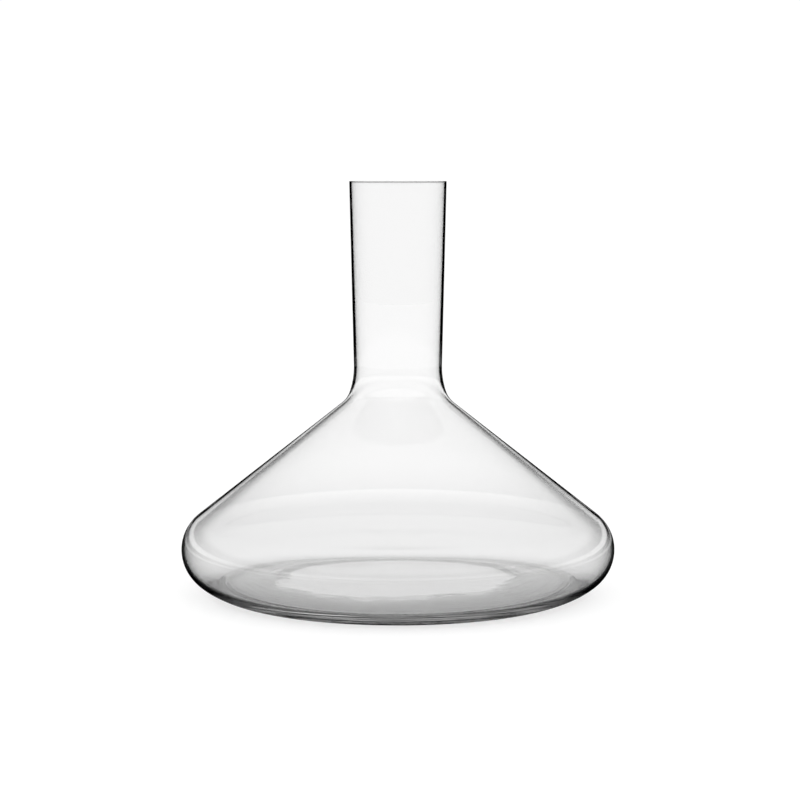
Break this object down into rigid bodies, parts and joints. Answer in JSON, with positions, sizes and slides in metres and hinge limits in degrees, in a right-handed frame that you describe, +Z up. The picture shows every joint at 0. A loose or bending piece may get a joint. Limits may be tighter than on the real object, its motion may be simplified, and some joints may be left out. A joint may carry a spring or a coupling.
{
  "type": "wine decanter",
  "caption": "Open-topped glass wine decanter: narrow, slightly flared neck, straight conical shoulder, broad low bowl with a rounded heel and a gently hollowed base.",
  "frame": {"origin": "centre of the foot, on the plane the decanter stands on", "axes": "+Z up along the axis of revolution, from the foot to the mouth; X and Y are interchangeable"},
  "size_m": [0.2222, 0.2222, 0.2107],
  "materials": {
    "clear_glass": "clear, fire-polished, thin-walled blown glass"
  },
  "bodies": {
    "root": {"glass_vessel": "clear_glass"}
  },
  "joints": []
}
